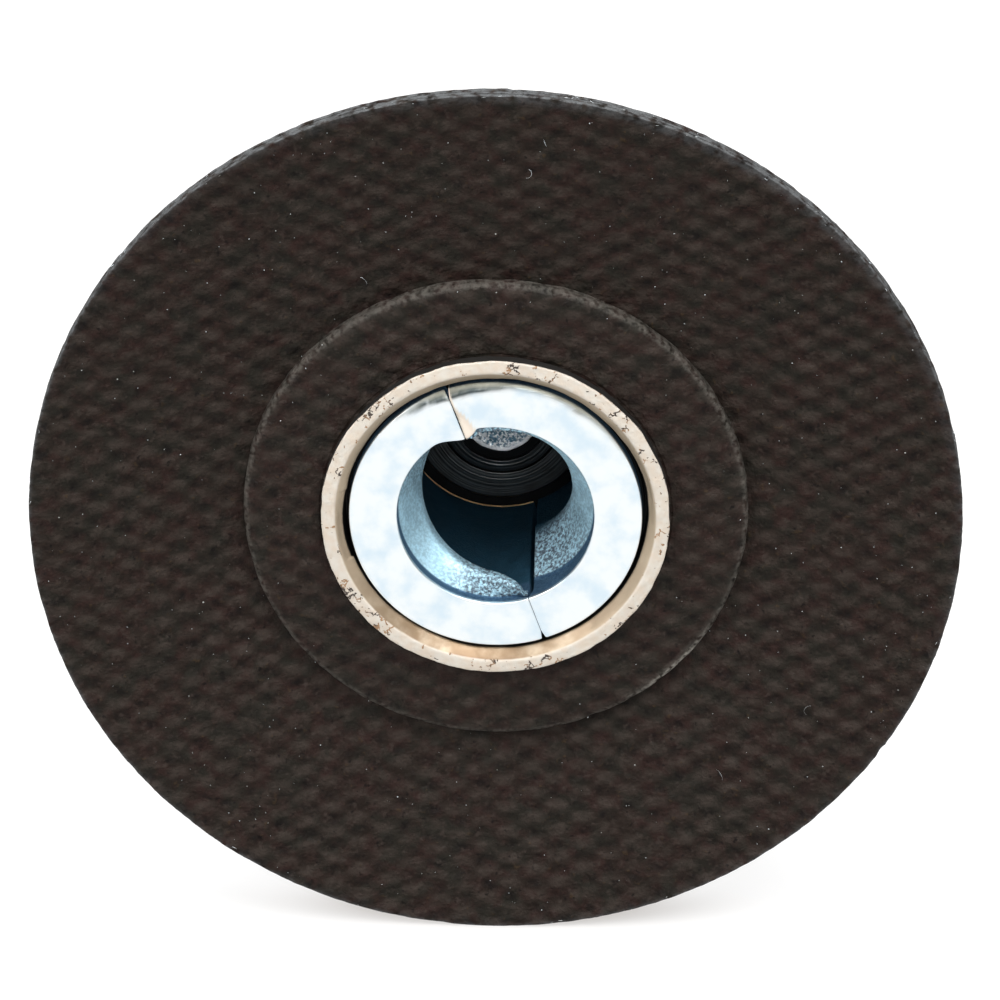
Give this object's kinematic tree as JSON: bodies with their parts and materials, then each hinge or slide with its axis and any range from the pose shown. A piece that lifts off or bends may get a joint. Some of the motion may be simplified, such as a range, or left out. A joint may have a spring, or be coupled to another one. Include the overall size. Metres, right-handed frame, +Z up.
{
  "type": "quick-change carving disc",
  "caption": "Round carving disc with a glass-cloth backing plate, a half-turn quick-change socket on the back and a domed gritted face for shaping wood.",
  "frame": {"origin": "on the spin axis, at the centre of the bounding box", "axes": "+Y along the spin axis towards the carving side, so the socket opens towards -Y; +Z up with the disc standing on its rim"},
  "size_m": [0.0508, 0.0154, 0.0508],
  "materials": {
    "glass_cloth": "woven glass cloth soaked in dark brown-black phenolic resin, matt, weave standing proud, frayed cut rim",
    "boss_cloth": "the same resin-soaked cloth, smoother where it is pressed over the boss",
    "cream_coated_steel": "cream coating with dark chips on the outer face, worn to a champagne metal on the inner slope",
    "bright_zinc": "bright blue-white zinc plating, lightly stained, orange-peel on the pressed lips",
    "turned_steel": "dark turned face with fine concentric tool lines",
    "rivet_steel": "rough upset end, sparkling facets",
    "plain_steel": "plain drawn steel",
    "pressed_steel": "satin pressed steel",
    "cutting_grit": "coarse brazed cutting grains with teeth",
    "adhesive": "cured amber adhesive"
  },
  "bodies": {
    "root": {"rear_glass_ply": "glass_cloth", "core_glass_ply": "glass_cloth", "front_glass_ply": "glass_cloth", "boss_ply": "boss_cloth", "eyelet_ring": "cream_coated_steel", "front_clamp_washer": "plain_steel", "thread_shell_right": "bright_zinc", "thread_shell_left": "bright_zinc", "hub_cup": "plain_steel", "hub_floor_disc": "turned_steel", "carving_shell": "pressed_steel", "carbide_grit_coat": "cutting_grit", "bond_ring": "adhesive", "rivet_washer": "plain_steel", "centre_rivet": "rivet_steel"}
  },
  "joints": []
}
